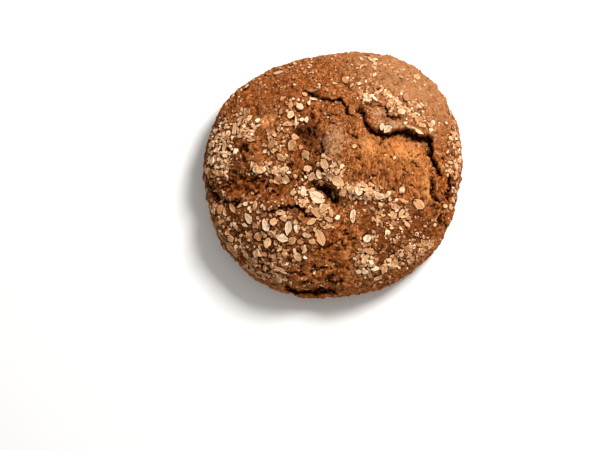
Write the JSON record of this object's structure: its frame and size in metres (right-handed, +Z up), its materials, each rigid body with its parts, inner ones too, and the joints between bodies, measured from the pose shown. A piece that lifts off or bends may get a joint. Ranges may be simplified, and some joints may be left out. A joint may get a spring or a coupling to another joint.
{
  "type": "whole round spelt bread",
  "caption": "Round wholemeal spelt loaf, domed on a flat base, its crust burst open on top and strewn with rolled flakes.",
  "frame": {"origin": "middle of the footprint's box, on the surface that the loaf rests on", "axes": "+Z up out of the top crust; seen from above with +X to the right, +Y points away from the eye, as in the picture"},
  "size_m": [0.2211, 0.2107, 0.0776],
  "materials": {
    "crust": "matte",
    "flakes": "matte"
  },
  "bodies": {
    "root": {"loaf": "crust"}
  },
  "joints": []
}
